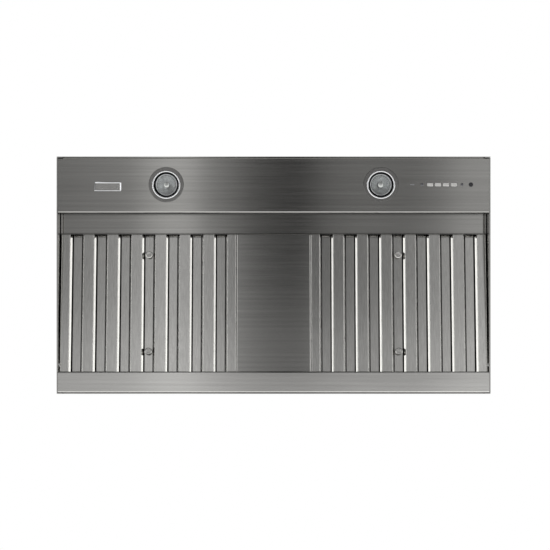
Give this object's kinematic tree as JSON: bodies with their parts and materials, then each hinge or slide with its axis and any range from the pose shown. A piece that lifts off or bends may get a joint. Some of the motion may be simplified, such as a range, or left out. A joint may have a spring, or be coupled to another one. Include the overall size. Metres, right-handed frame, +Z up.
{
  "type": "range hood insert",
  "caption": "Rectangular stainless liner insert for a range hood: sloping baffle filters, recessed lamps, push buttons, rear grease trough, centrifugal blower and round duct collar.",
  "frame": {"origin": "centre of the bottom rim, on the plane that the rim rests on", "axes": "+Z up to the duct collar, -Y towards the user, +X to the user's right"},
  "size_m": [1.026, 0.561, 0.355],
  "materials": {
    "brushed_stainless": "stainless sheet with a long horizontal grain",
    "baffle_stainless": "stainless sheet, bright at the rolled edges",
    "polished_stainless": "polished",
    "lamp_glass": "clear front over a faceted reflector",
    "ceramic": "unglazed ceramic",
    "galvanised_steel": "zinc coated with a faint spangle",
    "bright_steel": "bright drawn",
    "button_satin": "satin metal cap",
    "blackened_steel": "black oxide",
    "smoked_cap": "dark moulded cap",
    "lens_plastic": "frosted",
    "black_plastic": "moulded",
    "circuit_board": "solder mask",
    "motor_enamel": "baked enamel",
    "capacitor_can": "drawn can",
    "zinc_casting": "die cast",
    "lead_insulation": "insulated lead"
  },
  "bodies": {
    "liner": {"side_panel_right": "brushed_stainless", "side_panel_left": "brushed_stainless", "front_wall": "brushed_stainless", "rear_wall": "brushed_stainless", "top_panel": "brushed_stainless", "control_panel": "brushed_stainless", "filter_ledge": "brushed_stainless", "centre_panel": "brushed_stainless", "grease_trough": "brushed_stainless", "trough_ends": "brushed_stainless", "filter_stops": "brushed_stainless", "lamp_bezel_left": "polished_stainless", "lamp_bezel_right": "polished_stainless", "lamp_left": "lamp_glass", "lamp_right": "lamp_glass", "lamp_socket_left": "ceramic", "lamp_socket_right": "ceramic", "compartment_cover": "galvanised_steel", "lamp_can_left": "galvanised_steel", "lamp_can_right": "galvanised_steel", "scroll_wrap": "galvanised_steel", "scroll_side_left": "galvanised_steel", "scroll_side_right": "galvanised_steel", "motor_bracket": "galvanised_steel", "duct_collar": "galvanised_steel", "junction_box": "galvanised_steel", "junction_box_cover": "galvanised_steel", "damper_rod": "bright_steel", "top_screws": "bright_steel", "control_screws": "blackened_steel", "indicator_lens": "lens_plastic", "switch_housing": "black_plastic", "terminal_block": "black_plastic", "control_board": "circuit_board", "motor": "motor_enamel", "capacitor": "capacitor_can", "cable_clamp": "zinc_casting", "wiring": "lead_insulation"},
    "filter_left": {"filter_frame_left": "baffle_stainless", "lower_baffles_left": "baffle_stainless", "upper_baffles_left": "baffle_stainless", "filter_knobs_left": "polished_stainless"},
    "filter_right": {"filter_frame_right": "baffle_stainless", "lower_baffles_right": "baffle_stainless", "upper_baffles_right": "baffle_stainless", "filter_knobs_right": "polished_stainless"},
    "wheel": {"blower_wheel": "galvanised_steel", "motor_shaft": "bright_steel"},
    "flap_front": {"damper_flap_front": "galvanised_steel"},
    "flap_rear": {"damper_flap_rear": "galvanised_steel"},
    "button_1": {"speed_button_1": "button_satin"},
    "button_2": {"speed_button_2": "button_satin"},
    "button_3": {"speed_button_3": "button_satin"},
    "button_4": {"speed_button_4": "button_satin"},
    "lamp_button": {"light_button": "smoked_cap"}
  },
  "joints": [
    {"name": "filter_left_slide", "type": "slide", "parent": "liner", "child": "filter_left", "axis": [0, -0.9941, 0.1088], "range_m": [0, 0.018]},
    {"name": "filter_right_slide", "type": "slide", "parent": "liner", "child": "filter_right", "axis": [0, -0.9941, 0.1088], "range_m": [0, 0.018]},
    {"name": "wheel_spin", "type": "hinge", "parent": "liner", "child": "wheel", "pos_m": [0, -0.02723, 0.192], "axis": [1, 0, 0], "continuous": true},
    {"name": "flap_front_swing", "type": "hinge", "parent": "liner", "child": "flap_front", "pos_m": [0, 0.06, 0.329], "axis": [-1, 0, 0], "range_deg": [0, 80]},
    {"name": "flap_rear_swing", "type": "hinge", "parent": "liner", "child": "flap_rear", "pos_m": [0, 0.06, 0.329], "axis": [1, 0, 0], "range_deg": [0, 80]},
    {"name": "button_1_press", "type": "slide", "parent": "liner", "child": "button_1", "axis": [0, 0, 1], "range_m": [0, 0.001], "stiffness_N_per_m": 1000, "springref_m": -0.001},
    {"name": "button_2_press", "type": "slide", "parent": "liner", "child": "button_2", "axis": [0, 0, 1], "range_m": [0, 0.001], "stiffness_N_per_m": 1000, "springref_m": -0.001},
    {"name": "button_3_press", "type": "slide", "parent": "liner", "child": "button_3", "axis": [0, 0, 1], "range_m": [0, 0.001], "stiffness_N_per_m": 1000, "springref_m": -0.001},
    {"name": "button_4_press", "type": "slide", "parent": "liner", "child": "button_4", "axis": [0, 0, 1], "range_m": [0, 0.001], "stiffness_N_per_m": 1000, "springref_m": -0.001},
    {"name": "lamp_button_press", "type": "slide", "parent": "liner", "child": "lamp_button", "axis": [0, 0, 1], "range_m": [0, 0.001], "stiffness_N_per_m": 1000, "springref_m": -0.001}
  ]
}
